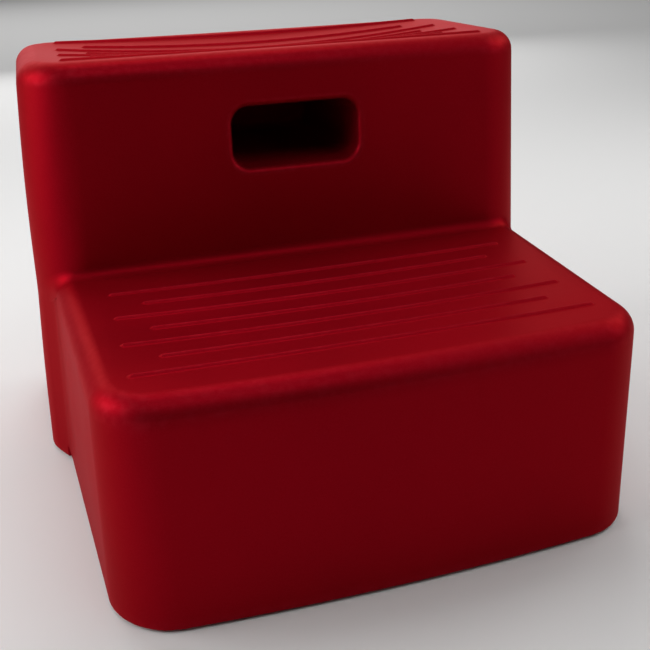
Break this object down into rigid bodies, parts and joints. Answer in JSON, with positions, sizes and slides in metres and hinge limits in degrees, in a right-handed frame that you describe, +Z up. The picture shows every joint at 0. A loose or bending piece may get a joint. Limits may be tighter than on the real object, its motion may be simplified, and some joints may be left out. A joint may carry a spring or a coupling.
{
  "type": "mounting block",
  "caption": "Two-tread moulded plastic mounting block with ribbed dished treads, a hand pocket in the upper riser, push-in rubber feet and a vent plug in the base.",
  "frame": {"origin": "bottom centre of the whole block, on the floor it stands on", "axes": "+X to the right across the treads, +Y from the low step to the back wall, +Z up"},
  "size_m": [0.5738, 0.5499, 0.4245],
  "materials": {
    "red_moulding": "satin, fine moulding grain",
    "plug_plastic": "satin",
    "foot_rubber": "matt"
  },
  "bodies": {
    "root": {"step_body": "red_moulding", "vent_plug": "plug_plastic", "foot_front_left": "foot_rubber", "foot_front_right": "foot_rubber", "foot_rear_left": "foot_rubber", "foot_rear_right": "foot_rubber"}
  },
  "joints": []
}
